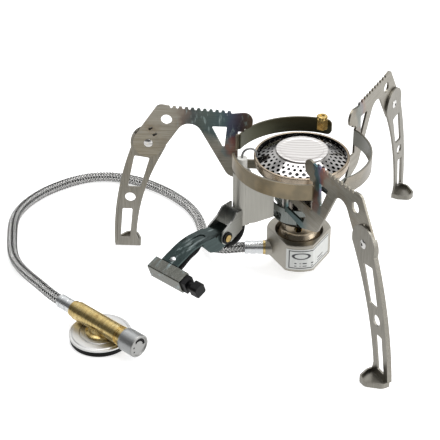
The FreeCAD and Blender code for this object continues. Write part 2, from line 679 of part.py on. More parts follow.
def lever_pin():
    """Brass pivot pin with a headed end on the near cheek."""
    x, z = LEVER_PIVOT
    near = LEVER_CENTRE + FORK_GAP + FORK_SHEET + WASHER
    far = LEVER_CENTRE - FORK_GAP - FORK_SHEET
    shank = pin(LEVER_PIN_RADIUS, x, z, far - 0.8, near)
    return on_lever(join(shank, pin(2.5, x, z, near, near + 0.7), pin(3.0, x, z, far - 0.8, far)))


def pivot_washer():
    x, z = LEVER_PIVOT
    start = LEVER_CENTRE + FORK_GAP + FORK_SHEET
    ring = pin(WASHER_RADIUS, x, z, start, start + WASHER)
    return on_lever(ring.cut(pin(LEVER_PIN_RADIUS, x, z, start, start + WASHER)))


def lever_surface(depth):
    """Side view of the web's surface at a depth below its top: start, bend and box edge as x, z corners."""
    start, bend, end = (Vector(x, z, 0) for x, z in (LEVER_START, LEVER_BEND, BOX_EDGE))
    rise = (bend - start).normalize()
    fall = (end - bend).normalize()
    under_rise = Vector(rise.y, -rise.x, 0)
    under_fall = Vector(fall.y, -fall.x, 0)
    mitre = (under_rise + under_fall) * (depth / (1 + under_rise.dot(under_fall)))
    first, middle, last = start + under_rise * depth, bend + mitre, end + under_fall * depth
    return [(first.x, first.y), (middle.x, middle.y, LEVER_BEND_RADIUS - depth), (last.x, last.y)]


def lever_sheet(top, bottom, plan):
    """Piece of the curved web between two depths, cut to a plan outline round the lever's middle."""
    side = plate(lever_surface(top) + lever_surface(bottom)[::-1], LEVER_CENTRE - LEVER_HALF, 2 * LEVER_HALF)
    outline = [(c[0], c[1] + LEVER_CENTRE, *c[2:]) for c in plan]
    return side.common(prism(outline, 30, 30))


def mirrored(half_plan):
    """Closed plan outline from the corners on its -Y side."""
    return half_plan + [(c[0], -c[1], *c[2:]) for c in half_plan[::-1]]


def igniter_lever():
    """Folding lever: channel round the pivot, then a ribbed strip down to the igniter box."""
    x, z = LEVER_PIVOT
    web = lever_sheet(0, LEVER_SHEET, mirrored([
        (0, -CHANNEL_HALF), (25.5, -CHANNEL_HALF, 3.0), (30.0, -LEVER_HALF, 3.0), (80, -LEVER_HALF)]))
    side = [(x - 5.0, z - 5.0, 4.9), (25.0, 31.2, 5.0), (34.0, 34.6, 6.0), (40.5, 42.0, 1.5), (40.5, 46.1),
            (x - 5.0, 43.4)]
    near = plate(side, LEVER_CENTRE + CHANNEL_HALF - LEVER_SHEET, LEVER_SHEET)
    far = plate(side, LEVER_CENTRE - CHANNEL_HALF, LEVER_SHEET)
    groove = lever_sheet(-1.0, RIB_DEPTH, mirrored([(34.0, -RIB_HALF, 2.3), (59.5, -RIB_HALF, 2.3)]))
    body = join(web, near, far).cut([groove, pin(LEVER_PIN_RADIUS + RUNNING, x, z, -20, 20)])
    return on_lever(body).cut(box_rivet_hole())


def box_rivet_hole():
    return on_box(post(BOX_RIVET_RADIUS, -4, 2, BOX_RIVET_X, LEVER_CENTRE))


def box_section(inset):
    """Corners of the box's cross-section in the box frame, moved inwards by inset."""
    return [(inset, -BOX_DEPTH + inset), (BOX_WIDTH - inset, -BOX_DEPTH + inset), (BOX_WIDTH - inset, -inset),
            (inset, -inset)]


def igniter_box():
    """Square tube that holds the piezo unit, with a tab riveted under the lever."""
    half = BOX_LENGTH / 2
    outline = [(*corner, 0.8) for corner in box_section(0)]
    tube = plate(outline, -half, BOX_LENGTH).cut(plate(box_section(BOX_WALL), -half, BOX_LENGTH))
    tab_top = -LEVER_SHEET - SEAM
    tab = block((-BOX_TAB, LEVER_CENTRE - CHANNEL_HALF, tab_top - 1.0),
                (BOX_WALL / 2, LEVER_CENTRE + CHANNEL_HALF, tab_top))
    tube.translate(Vector(SEAM, 0, 0))
    return on_box(join(tube, tab)).cut(box_rivet_hole())


def box_rivet():
    head_radius, head_height = 2.1, 0.9
    low = -LEVER_SHEET - SEAM - 1.0
    ball_radius = (head_radius ** 2 + head_height ** 2) / (2 * head_height)
    ball = Part.makeSphere(ball_radius, Vector(0, 0, head_height - ball_radius))
    head = ball.common(post(head_radius, 0, head_height))
    body = join(post(BOX_RIVET_RADIUS, low, 0), head, post(2.0, low - 0.7, low))
    body.translate(Vector(BOX_RIVET_X, LEVER_CENTRE, 0))
    return on_box(body)


def plunger_at(start, end, radius):
    """Cylinder along the middle of the box."""
    return pin(radius, BOX_WIDTH / 2 + SEAM, -BOX_DEPTH / 2, start, end)


def piezo_unit():
    """Moulded piezo body in the box, open at one end for the button."""
    body = plate(box_section(BOX_WALL + 0.1), -BOX_LENGTH / 2 + 1.0, PIEZO_LENGTH)
    body.translate(Vector(SEAM, 0, 0))
    return on_box(body.cut(plunger_at(PIEZO_BORE_START, PIEZO_END, PLUNGER_RADIUS + RUNNING)))


def igniter_button():
    """Push button: plunger in the piezo body with a square-shouldered cap."""
    half = 4.0
    corner = 1.6
    middle_x, middle_z = BOX_WIDTH / 2 + SEAM, -BOX_DEPTH / 2
    start = PIEZO_END + BUTTON_TRAVEL + 0.5
    outline = [(middle_x - half, middle_z - half, corner), (middle_x + half, middle_z - half, corner),
               (middle_x + half, middle_z + half, corner), (middle_x - half, middle_z + half, corner)]
    plunger = plunger_at(PIEZO_BORE_START + BUTTON_TRAVEL + 1.0, start, PLUNGER_RADIUS)
    return on_box(join(plate(outline, start, 5.6), plunger))


def cable_lower():
    """Ignition lead under the lever, from the box to the pivot."""
    radius = 1.6
    slope = math.radians(BOX_PITCH)
    start = Vector(BOX_EDGE[0] - 4.6 * math.sin(slope), 3.4, BOX_EDGE[1] - 4.6 * math.cos(slope))
    points = [start, Vector(60.0, 3.5, 38.8), Vector(54.0, 3.5, 41.7), Vector(47.5, 3.1, 43.1),
              Vector(43.5, 1.3, 43.1), Vector(39.0, -0.8, 42.6), Vector(33.0, -2.3, 41.9),
              Vector(25.0, LEVER_CENTRE, 41.2)]
    first = Vector(-math.cos(slope), 0, math.sin(slope))
    path = curve_through(points, first, Vector(-1, 0, 0))
    return on_lever(swept([path], radius, start, first))


def cable_upper():
    """Ignition lead, in its thick sheath, from the pivot up into the electrode sleeve."""
    radius = 2.5
    start = Vector(0, 0, 50.0)
    points = [start, Vector(0, 0, 40.0), Vector(1.4, -0.4, 33.0), Vector(5.0, -1.5, 28.8),
              Vector(12.0, -2.5, 28.6)]
    path = curve_through(points, Vector(0, 0, -1), Vector(1, 0, 0.3).normalize())
    return on_lever(swept([path], radius, start, Vector(0, 0, -1)))


# --- hose and canister valve --------------------------------------------------------------
def on_axis(x):
    """Point on the valve's axis, valve frame."""
    return Vector(x, 0, VALVE_Z)


def hose_end():
    """Where the hose meets the canister valve's collar, row frame."""
    reach = bearing(VALVE_TAIL - VALVE_COLLAR, VALVE_ANGLE)
    return Vector(VALVE_X, VALVE_Y, VALVE_Z) + reach


def valve_heading():
    return bearing(1.0, VALVE_ANGLE)


def inlet_at(x):
    """Point on the block's inlet axis, row frame."""
    return Vector(x, INLET_Y, INLET_Z)


def inlet_fitting():
    """Threaded spigot from the block into the hose, with a round collar."""
    thread = rod(INLET_THREAD, inlet_at(INLET_FACE), inlet_at(-11.0))
    collar = rod(4.9, inlet_at(HOSE_START), inlet_at(INLET_FACE))
    spigot = rod(HOSE_BORE, inlet_at(-36.0), inlet_at(HOSE_START))
    return join(thread, collar, spigot).cut(rod(GAS_WAY, inlet_at(-36.0), inlet_at(-11.0)))


def ferrule(start, heading):
    """Crimped sleeve over a hose end, from start along heading."""
    crimp_width, crimp_depth = 1.4, 0.35
    body = rod(FERRULE_RADIUS, start, start + heading * FERRULE_LENGTH)
    for share in (0.3, 0.7):
        place = start + heading * (FERRULE_LENGTH * share)
        crimp = rod(FERRULE_RADIUS, place, place + heading * crimp_width)
        body = body.cut(crimp.cut(rod(FERRULE_RADIUS - crimp_depth, place, place + heading * crimp_width)))
    return body.cut(rod(HOSE_RADIUS, start, start + heading * FERRULE_LENGTH))


def inlet_ferrule():
    return ferrule(inlet_at(HOSE_START), -X_AXIS)


def valve_ferrule():
    return ferrule(hose_end(), -valve_heading())


def gas_hose():
    """Braided hose from the block's spigot to the canister valve's spigot, lying on the ground between."""
    start = inlet_at(HOSE_START)
    straight_end = inlet_at(HOSE_START - FERRULE_LENGTH)
    finish = hose_end()
    straight_start = finish - valve_heading() * FERRULE_LENGTH
    points = [straight_end] + [Vector(*p) for p in HOSE_PATH] + [straight_start]
    middle = curve_through(points, -X_AXIS, valve_heading())
    path = [Part.makeLine(start, straight_end), middle, Part.makeLine(straight_start, finish)]
    return swept(path, HOSE_RADIUS, start, -X_AXIS).cut(swept(path, HOSE_BORE, start, -X_AXIS))


def valve_barrel():
    """Outside of the valve's barrel with the collar and spigot at its hose end."""
    nose_length = 3.0
    groove_start, groove_end = VALVE_NOSE - 4.4, VALVE_NOSE - 3.2
    barrel = rod(VALVE_RADIUS, on_axis(VALVE_TAIL), on_axis(VALVE_NOSE - nose_length))
    groove = rod(VALVE_RADIUS, on_axis(groove_start), on_axis(groove_end))
    groove = groove.cut(rod(VALVE_RADIUS - 0.5, on_axis(groove_start), on_axis(groove_end)))
    nose = rod(VALVE_RADIUS - 0.5, on_axis(VALVE_NOSE - nose_length), on_axis(VALVE_NOSE))
    collar = rod(VALVE_RADIUS - 0.7, on_axis(VALVE_TAIL - VALVE_COLLAR), on_axis(VALVE_TAIL))
    spigot = rod(HOSE_BORE, on_axis(VALVE_TAIL - SPIGOT_LENGTH), on_axis(VALVE_TAIL))
    return join(barrel, nose, collar, spigot).cut(groove)


def canister_valve():
    """Brass body: valve barrel lying over a flanged canister socket."""
    outer = SOCKET_RADIUS + SOCKET_WALL
    flange_top = DISC_TOP + 1.5
    socket = turned([
        (0, SOCKET_MOUTH), (outer, SOCKET_MOUTH), (outer, DISC_TOP), (9.6, DISC_TOP, 0.3),
        (9.6, flange_top, 0.4), (7.6, flange_top + 0.8), (7.6, VALVE_Z), (0, VALVE_Z)])
    seat_x = 2.0
    return on_valve(join(valve_barrel(), socket).cut([
        post(SOCKET_RADIUS, SOCKET_MOUTH, SOCKET_TOP),
        post(SEAL_POCKET, SOCKET_TOP, POCKET_TOP),
        post(0.8, POCKET_TOP - 0.4, VALVE_Z, -2.6, 0),
        post(OPENER_RADIUS, POCKET_TOP - 0.4, OPENER_TOP),
        rod(GAS_WAY, on_axis(VALVE_TAIL - SPIGOT_LENGTH), on_axis(seat_x)),
        rod(SPINDLE_RADIUS + RUNNING, on_axis(seat_x), on_axis(VALVE_NOSE)),
        rod(3.0, on_axis(RING_SEAT - 1.0), on_axis(RING_SEAT + 1.0)),
    ]))


def valve_pin():
    """Fixed pin that opens the canister's own valve."""
    return on_valve(post(OPENER_RADIUS, SOCKET_TOP + 0.2, OPENER_TOP))


def socket_ring():
    """Sealing ring at the socket's ceiling."""
    thickness = 0.9
    centre = Vector(0, 0, POCKET_TOP - thickness - 0.05)
    return on_valve(Part.makeTorus(SEAL_POCKET - thickness - 0.1, thickness, centre))


def adapter_disc():
    """Stepped aluminium disc clamped under the valve's flange."""
    hole = SOCKET_RADIUS + SOCKET_WALL
    body = turned([
        (hole, SEAL_HEIGHT), (DISC_RADIUS, SEAL_HEIGHT), (DISC_RADIUS, DISC_TOP - 0.4, 0.4),
        (DISC_RADIUS - 1.6, DISC_TOP - 0.35, 0.2), (DISC_RADIUS - 2.1, DISC_TOP, 0.2), (13.6, DISC_TOP),
        (13.3, DISC_TOP - 0.3), (12.7, DISC_TOP - 0.3), (12.4, DISC_TOP), (hole, DISC_TOP),
    ])
    return on_valve(body)


def adapter_seal():
    """Rubber ring under the disc, which seats on the canister's rim."""
    outer = DISC_RADIUS - 0.4
    return on_valve(turned([(15.5, 0), (outer, 0, 0.8), (outer, SEAL_HEIGHT), (15.5, SEAL_HEIGHT)]))


def valve_spindle():
    """Needle spindle turned by the knob."""
    cone_start, cone_length = 2.6, 3.0
    tip = Part.makeCone(0.3, SPINDLE_RADIUS, cone_length, on_axis(cone_start), X_AXIS)
    shank = rod(SPINDLE_RADIUS, on_axis(cone_start + cone_length), on_axis(VALVE_NOSE + SPINDLE_REACH))
    seat = rod(SPINDLE_RADIUS, on_axis(RING_SEAT - 0.8), on_axis(RING_SEAT + 0.8))
    seat = seat.cut(rod(SPINDLE_RADIUS - 0.5, on_axis(RING_SEAT - 0.8), on_axis(RING_SEAT + 0.8)))
    return on_valve(join(tip, shank).cut(seat))


def spindle_ring():
    """Rubber ring in the spindle's groove."""
    return on_valve(Part.makeTorus(2.25, 0.7, on_axis(RING_SEAT), X_AXIS))


def turned_on_axis(profile):
    """Solid of revolution about the valve's axis from corners (radius, x)."""
    body = turned(profile)
    body.rotate(Vector(0, 0, 0), Y_AXIS, 90)
    body.translate(on_axis(0))
    return body


def control_knob():
    """Round knob with a raised rim on its end face, a curved arrow and two dots."""
    start = VALVE_NOSE + 0.6
    end = start + KNOB_LENGTH
    mark = 0.4
    face = end - 0.7
    body = turned_on_axis([
        (0, start), (KNOB_RADIUS - 0.4, start, 0.4), (KNOB_RADIUS, start + 1.5), (KNOB_RADIUS, end, 0.7),
        (KNOB_RADIUS - 1.3, end, 0.4), (KNOB_RADIUS - 1.5, face, 0.2), (0, face)])
    bore = rod(SPINDLE_RADIUS, on_axis(start), on_axis(VALVE_NOSE + SPINDLE_REACH))
    arrow = turned_on_axis([(3.4, face - mark), (5.3, face - mark), (5.3, end), (3.4, end)])
    arrow = arrow.common(block((0, -2.5, VALVE_Z - 0.5), (end, 10, VALVE_Z + 10)))
    dots = [rod(0.6, Vector(face - mark, -4.0, z), Vector(end, -4.0, z))
            for z in (VALVE_Z + 0.5, VALVE_Z - 2.7)]
    return on_valve(body.cut([bore, arrow] + dots))


# --- export -------------------------------------------------------------------------------
def all_nodes():
    arms = {f"pot_arm_{side}": on_arm(pot_arm(), angle) for side, angle in ARM_ANGLES.items()}
    legs = {f"leg_{side}": on_arm(folding_leg(LEG_SPLAY[side]), angle)
            for side, angle in ARM_ANGLES.items()}
    rivets = Part.makeCompound([on_arm(leg_rivet(), angle) for angle in ARM_ANGLES.values()])
    single = (
        valve_block, block_label, jet, mixing_tube, carrier_cup, burner_cup, burner_screen, burner_cap,
        cap_stud, ring_post, electrode_sleeve, electrode_ceramic, electrode_wire, igniter_fork, lever_pin,
        pivot_washer, igniter_lever, igniter_box, box_rivet, piezo_unit, igniter_button, cable_lower, cable_upper,
        inlet_fitting, inlet_ferrule, valve_ferrule, gas_hose, canister_valve, valve_pin, socket_ring,
        adapter_disc, adapter_seal, valve_spindle, spindle_ring, control_knob,
    )
    nodes = {make.__name__: make() for make in single}
    return {**arms, **legs, "leg_rivets": rivets, **nodes}


os.makedirs("parts", exist_ok=True)
for node, shape in all_nodes().items():
    shape.exportStep(f"parts/{node}.step")
    volumes = [round(solid.Volume, 1) for solid in shape.Solids]
    print(node, "solids", len(shape.Solids), "valid", shape.isValid(), "volume", volumes)
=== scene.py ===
import math

import bpy
import numpy as np
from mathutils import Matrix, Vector


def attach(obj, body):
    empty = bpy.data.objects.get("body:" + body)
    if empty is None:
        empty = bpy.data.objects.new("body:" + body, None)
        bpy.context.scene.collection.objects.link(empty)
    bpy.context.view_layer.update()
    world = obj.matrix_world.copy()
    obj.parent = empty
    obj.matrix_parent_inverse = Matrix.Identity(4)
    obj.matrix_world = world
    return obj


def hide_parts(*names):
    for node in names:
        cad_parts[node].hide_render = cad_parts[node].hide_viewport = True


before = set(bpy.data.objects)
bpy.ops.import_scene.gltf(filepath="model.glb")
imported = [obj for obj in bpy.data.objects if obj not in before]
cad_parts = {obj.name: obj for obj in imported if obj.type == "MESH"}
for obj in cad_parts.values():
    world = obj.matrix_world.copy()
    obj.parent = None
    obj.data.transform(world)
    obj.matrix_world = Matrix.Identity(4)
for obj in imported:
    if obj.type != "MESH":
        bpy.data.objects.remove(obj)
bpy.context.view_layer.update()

MM = 0.001
ARM_ANGLES = {"right": 59.3, "left": 176.7, "front": 298.2}
LEVER_ANGLE = -132.5
VALVE_ANGLE = -42.1
VALVE_CENTRE = (-130.0, -82.5, 12.0)
KNOB_FACE = 34.9              # valve frame x of the knob's end face, inside its rim
KNOB_MARKS_RADIUS = 5.8       # the arrow and dots lie inside this radius

# wind ring, millimetres from the burner's axis and above the ground
RING_INSIDE = 43.8
RING_OUTSIDE = 46.8
RING_BOTTOM = 80.5
RING_TOP = 92.5

# label, millimetres: across it, lengths round the block from the X axis
LABEL_RADIUS = 22.1
LABEL_LEFT = -43.5
LABEL_BARS_END = -10.0
LABEL_MIDDLE_Z = 19.5
LABEL_HALF_HEIGHT = 8.0
LABEL_BARS_TOP = 17.8
LABEL_OVAL = (-34.0, 22.2)
LABEL_OVAL_SIZE = (6.5, 2.6)

# brightness of each arm's and leg's steel, painted light and shade that makes the same steel lighter or
# darker by side for how the light falls on it, and how strong the arm's heat colours are
ARM_PAINTED_LIGHT = {"left": 0.94, "front": 0.84, "right": 0.8}
LEG_PAINTED_LIGHT = {"left": 0.86, "front": 0.82, "right": 0.8}
HEAT_STRENGTH = {"left": 0.85, "front": 0.9, "right": 0.35}
HEAT_START = 30.0             # arm frame x where the heat colours begin, at the arm's inner end
HEAT_WANDER = 22.0            # how far their edges wander

# gas hose, millimetres: same centre line as the CAD hose
HOSE_POINTS = (
    (-36.7, 1.5, 14.0),
    (-49.5, 1.5, 13.0), (-58.5, 6.5, 11.0), (-63.5, 18.0, 8.5), (-66.0, 34.0, 6.0), (-69.0, 51.5, 4.5),
    (-75.5, 68.0, 3.9), (-88.0, 85.0, 3.85), (-106.5, 101.0, 3.85), (-125.0, 110.0, 3.85),
    (-146.5, 112.5, 3.85), (-169.5, 103.0, 3.85), (-191.5, 81.5, 3.85), (-201.0, 60.0, 3.85),
    (-200.5, 28.5, 3.9), (-195.5, 1.5, 5.0), (-185.0, -19.5, 7.3), (-173.0, -37.5, 10.0),
)
HOSE_RADIUS = 3.75
HOSE_END_STRAIGHT = 12.5      # length of hose inside each ferrule
HOSE_VALVE_END = -23.8        # valve frame x where the hose ends
BRAID_CARRIERS = 12           # ribbons in each winding direction
BRAID_PITCH = 27.0            # advance of one ribbon per turn
BRAID_LIFT = 0.22             # rise and fall of a ribbon over its neighbours
BRAID_STEP = 0.6              # spacing of the points along a ribbon
BRAID_MARGIN = 0.06           # keeps the topmost ribbons inside the hose's radius
RIBBON_COVER = 0.8232         # share of the circumference the ribbons cover
RIBBON_SECTION = ((-1.0, 0.12), (-0.5, 0.02), (0.5, 0.02), (1.0, 0.12))   # share of half width, drop
CORE_STEP = 2.5
CORE_SIDES = 24
CORE_GAP = 0.22               # from the lowest ribbon to the tube inside

CAMERA_PLACE = (-0.0537, -0.7713, 0.5308)
CAMERA_LOOK = (0.0, 0.8422, -0.5391)
CAMERA_LENS = 110.84

# brightness of the studio, and of what the metal sees in it
FLOOR_SIZE = 6.0
FLOOR_DARK = 0.95
FLOOR_LIGHT = 1.3
FLOOR_GLOW = 0.6
ROOM_PLAIN = 0.5
ROOM_DARK = 0.12
ROOM_LIGHT = 1.0


# --- node helper ---------------------------------------------------------------------------
class Shade:
    """A material in the making: each call adds a node and gives back its output socket."""

    def __init__(self, name):
        self.material = bpy.data.materials.new(name)
        self.material.use_nodes = True
        self.tree = self.material.node_tree
        self.surface = self.tree.nodes["Principled BSDF"]
        coordinates = self.add("ShaderNodeTexCoord")
        self.place = coordinates.outputs["Object"]
        self.uv = coordinates.outputs["UV"]

    def add(self, kind, inputs=(), **settings):
        node = self.tree.nodes.new(kind)
        for key, value in settings.items():
            setattr(node, key, value)
        for key, value in dict(inputs).items():
            self.plug(node.inputs[key], value)
        return node

    def plug(self, socket, value):
        if isinstance(value, bpy.types.NodeSocket):
            self.tree.links.new(value, socket)
        elif socket.type == "RGBA":
            socket.default_value = (*value, 1.0)
        else:
            socket.default_value = value

    def calc(self, operation, a, b=0.0):
        return self.add("ShaderNodeMath", {0: a, 1: b}, operation=operation).outputs[0]

    def plus(self, a, b):
        return self.calc("ADD", a, b)

    def minus(self, a, b):
        return self.calc("SUBTRACT", a, b)

    def times(self, first, *others):
        for other in others:
            first = self.calc("MULTIPLY", first, other)
        return first

    def length(self, a, b):
        return self.calc("SQRT", self.plus(self.times(a, a), self.times(b, b)))

    def from_axis(self, where):
        """Distance from the Z axis."""
        x, y, _ = self.split(where)
        return self.length(x, y)

    def off_centre(self, value, centre):
        return self.calc("ABSOLUTE", self.minus(value, centre))

    def between(self, factor, low, high):
        """Number from low to high as factor goes from 0 to 1."""
        return self.plus(self.times(factor, high - low), low)

    def smooth(self, value, low, high):
        """0 below low, 1 above high, smooth between; high may be the lower one."""
        inputs = {"Value": value, "From Min": low, "From Max": high}
        return self.add("ShaderNodeMapRange", inputs, interpolation_type="SMOOTHSTEP").outputs[0]

    def fade(self, value, low, high):
        """smooth for a length in metres, with its limits in millimetres."""
        return self.smooth(value, low * MM, high * MM)

    def band(self, value, low, high, soft=1.0):
        """1 where a length is from low to high millimetres, fading to 0 over soft millimetres."""
        return self.times(self.fade(value, low - soft, low), self.fade(value, high + soft, high))

    def split(self, vector):
        node = self.add("ShaderNodeSeparateXYZ", {0: vector})
        return node.outputs[0], node.outputs[1], node.outputs[2]

    def vector(self, operation, a, b):
        return self.add("ShaderNodeVectorMath", {0: a, 1: b}, operation=operation).outputs[0]

    def turned(self, angle, origin=(0.0, 0.0, 0.0)):
        """Coordinates in a frame at origin, turned by angle about Z."""
        moved = self.vector("SUBTRACT", self.place, origin)
        spin = {0: moved, "Axis": (0, 0, 1), "Angle": -math.radians(angle)}
        return self.add("ShaderNodeVectorRotate", spin).outputs[0]

    def noise(self, scale, where=None, stretch=(1, 1, 1), detail=3.0, rough=0.55):
        where = self.vector("MULTIPLY", where or self.place, stretch)
        inputs = {"Vector": where, "Scale": scale, "Detail": detail, "Roughness": rough}
        return self.add("ShaderNodeTexNoise", inputs).outputs[0]

    def streaks(self, where, along):
        """Brushing lines along one axis of the coordinates where."""
        stretch = [3000.0, 3000.0, 3000.0]
        stretch["xyz".index(along)] = 60.0
        return self.noise(1.0, where, stretch, detail=4.0)

    def ramp(self, factor, *stops):
        node = self.add("ShaderNodeValToRGB", {0: factor})
        elements = node.color_ramp.elements
        while len(elements) < len(stops):
            elements.new(0.5)
        for element, (position, colour) in zip(elements, stops):
            element.position = position
            element.color = (*colour, 1.0)
        return node.outputs[0]

    def mix(self, factor, a, b):
        node = self.add("ShaderNodeMix", data_type="RGBA")
        self.plug(node.inputs[0], factor)
        self.plug(node.inputs[6], a)
        self.plug(node.inputs[7], b)
        return node.outputs[2]

    def lined(self, lines, dark, light):
        """Colour of brushed metal, from dark to light across its lines."""
        return self.mix(self.smooth(lines, 0.3, 0.7), dark, light)

    def done(self, colour, roughness, metallic=1.0, relief=None, depth=0.02, edge=0.2, **extra):
        """Connects the surface: relief is a 0-1 height, depth and edge radius are in millimetres."""
        self.plug(self.surface.inputs["Base Color"], colour)
        self.plug(self.surface.inputs["Roughness"], roughness)
        self.plug(self.surface.inputs["Metallic"], metallic)
        for key, value in extra.items():
            self.plug(self.surface.inputs[key.replace("_", " ")], value)
        normal = None
        if edge:
            normal = self.add("ShaderNodeBevel", {"Radius": edge * MM}, samples=4).outputs[0]
        if relief is not None:
            inputs = {"Height": relief, "Distance": depth * MM}
            if normal:
                inputs["Normal"] = normal
            normal = self.add("ShaderNodeBump", inputs).outputs[0]
        if normal:
            self.plug(self.surface.inputs["Normal"], normal)
        return self.material


class WorldShade(Shade):
    """The same node calls on a world; ray is the direction looked in."""

    def __init__(self, world):
        self.tree = world.node_tree
        self.ray = self.add("ShaderNodeTexCoord").outputs["Generated"]


def grey(level):
    return (level, level, level)


def scaled(colour, factor):
    return tuple(c * factor for c in colour)


# --- materials -----------------------------------------------------------------------------
def brushed(name, colour, roughness=0.34, turn=0.0, along="x", contrast=0.22, edge=0.2):
    """Brushed sheet or turned bar: fine lines along one axis, faint clouds of handling marks."""
    shade = Shade(name)
    lines = shade.streaks(shade.turned(turn), along)
    clouds = shade.noise(90.0)
    dark = scaled(colour, 1.0 - contrast)
    tone = shade.lined(lines, dark, colour)
    tone = shade.mix(shade.between(clouds, 0.0, 0.3), tone, dark)
    rough = shade.between(clouds, roughness - 0.06, roughness + 0.1)
    return shade.done(tone, rough, relief=lines, edge=edge)


def heat_colours(side):
    """Colours of the sheet from the burner outwards, and how far out they reach in millimetres."""
    if side == "left":
        return 60.0, (
            (0.0, (0.10, 0.06, 0.03)), (0.1, (0.045, 0.03, 0.06)), (0.22, (0.02, 0.035, 0.08)),
            (0.34, (0.03, 0.075, 0.09)), (0.6, (0.055, 0.085, 0.08)), (0.82, (0.045, 0.06, 0.065)),
            (0.92, (0.16, 0.12, 0.10)), (1.0, (0.30, 0.27, 0.21)))
    return 30.0, (
        (0.0, (0.26, 0.24, 0.19)), (0.36, (0.24, 0.22, 0.17)), (0.46, (0.04, 0.09, 0.11)),
        (0.62, (0.05, 0.13, 0.15)), (0.76, (0.14, 0.13, 0.22)), (0.86, (0.28, 0.12, 0.10)),
        (1.0, (0.30, 0.27, 0.21)))


def heat_band(shade, tone, side, local, outward, height):
    """Adds the blue and brown of the arm's toothed edge, scratched along the arm."""
    reach, stops = heat_colours(side)
    heat = shade.fade(outward, HEAT_START, HEAT_START + reach)
    scratches = shade.noise(1.0, local, (500.0, 500.0, 130.0))
    tints = shade.mix(shade.smooth(scratches, 0.56, 0.76), shade.ramp(heat, *stops), (0.26, 0.34, 0.34))
    upper = shade.fade(height, 83.5, 92.5)
    near = shade.smooth(heat, 1.0, 0.9)
    return shade.mix(shade.times(near, upper, HEAT_STRENGTH[side]), tone, tints)


def heat_spots(shade, tone, side, outward, z):
    """Adds the rusty patch below the toothed edge's inner end and the teal end of the tongue."""
    strength = 0.8 * HEAT_STRENGTH[side]
    root = shade.times(shade.fade(outward, 56, 48), shade.fade(z, 73.5, 76.5), shade.fade(z, 92.5, 89.5))
    embers = shade.ramp(
        shade.fade(outward, 40, 56),
        (0.0, (0.05, 0.03, 0.02)), (0.5, (0.18, 0.05, 0.03)), (0.8, (0.03, 0.12, 0.15)),
        (1.0, (0.16, 0.15, 0.12)))
    tone = shade.mix(shade.times(root, strength), tone, embers)
    tongue = shade.times(shade.fade(outward, 42, 30), shade.fade(z, 66, 60))
    return shade.mix(shade.times(tongue, strength), tone, (0.04, 0.13, 0.15))


def arm_steel(side):
    """Stainless stamping with heat colours towards the burner, and its own tone on the ring arc."""
    shade = Shade(f"arm_steel_{side}")
    local = shade.turned(ARM_ANGLES[side])
    lines = shade.streaks(local, "x")
    x, _, z = shade.split(local)
    distance = shade.from_axis(shade.place)
    # painted light and shade: this side's steel made lighter or darker for how the light falls on it
    light = ARM_PAINTED_LIGHT[side]
    tone = shade.lined(lines, scaled((0.27, 0.25, 0.205), light), scaled((0.42, 0.395, 0.34), light))
    blotches = shade.noise(60.0, detail=4.0)
    tone = shade.mix(shade.smooth(blotches, 0.5, 0.8), tone, scaled((0.25, 0.20, 0.14), light))
    wander = shade.times(shade.minus(shade.noise(55.0), 0.5), HEAT_WANDER * MM)
    outward = shade.plus(x, wander)
    tone = heat_band(shade, tone, side, local, outward, shade.plus(z, wander))
    tone = heat_spots(shade, tone, side, outward, z)
    ring = shade.times(shade.band(distance, RING_INSIDE, RING_OUTSIDE), shade.band(z, RING_BOTTOM, RING_TOP))
    tone = shade.mix(ring, tone, ring_tone(shade, side, lines, distance))
    return shade.done(tone, shade.between(blotches, 0.24, 0.4), relief=lines, edge=0.25)


def ring_tone(shade, side, lines, distance):
    """Bronze with cooler patches outside; painted shade and painted reflection of the dark burner inside
    each arc, darkest on the left arm's arc.
    """
    patches = shade.smooth(shade.noise(70.0, detail=2.0), 0.38, 0.62)
    bronze = shade.mix(patches, (0.20, 0.165, 0.105), (0.29, 0.23, 0.14))
    cool = shade.lined(lines, (0.26, 0.26, 0.25), (0.38, 0.37, 0.35))
    cool_share = {"left": 0.25, "front": 0.1, "right": 0.55}[side]
    outside = shade.mix(cool_share, bronze, cool)
    # painted shade and reflection of the dark burner on the inside of each arc, set by side
    painted_shade_inside = {"left": (0.075, 0.075, 0.05), "front": (0.24, 0.22, 0.18), "right": (0.16, 0.16, 0.14)}[side]
    return shade.mix(shade.fade(distance, 45.6, 45.0), outside, painted_shade_inside)


def leg_steel(side):
    """Brushed leg, the lines running along it."""
    # painted light and shade: this side's steel made lighter or darker for how the light falls on it
    colour = scaled((0.42, 0.40, 0.35), LEG_PAINTED_LIGHT[side])
    return brushed(f"leg_steel_{side}", colour, turn=ARM_ANGLES[side], along="z", contrast=0.35, edge=0.35)


def cast_alloy():
    """Satin zinc casting with faint pores."""
    shade = Shade("cast_alloy")
    clouds = shade.noise(120.0)
    tone = shade.mix(clouds, (0.30, 0.28, 0.24), (0.44, 0.42, 0.37))
    pores = shade.noise(2500.0)
    return shade.done(tone, shade.between(clouds, 0.3, 0.45), relief=pores, depth=0.04, edge=0.4)


def brass(name="brass", colour=(0.76, 0.58, 0.25), roughness=0.24):
    """Turned brass: rings round the valve's axis, worn and darkened in places."""
    shade = Shade(name)
    local = shade.turned(VALVE_ANGLE, scaled(VALVE_CENTRE, MM))
    rings = shade.noise(1.0, local, (1100.0, 90.0, 90.0), detail=5.0, rough=0.7)
    clouds = shade.noise(300.0, detail=5.0, rough=0.65)
    tone = shade.mix(shade.smooth(rings, 0.35, 0.65), scaled(colour, 0.7), colour)
    tone = shade.mix(shade.smooth(clouds, 0.5, 0.66), tone, (0.42, 0.29, 0.11))
    tone = shade.mix(shade.smooth(clouds, 0.42, 0.34), tone, (0.88, 0.74, 0.42))
    rough = shade.between(clouds, roughness - 0.06, roughness + 0.14)
    return shade.done(tone, rough, relief=rings, edge=0.25)


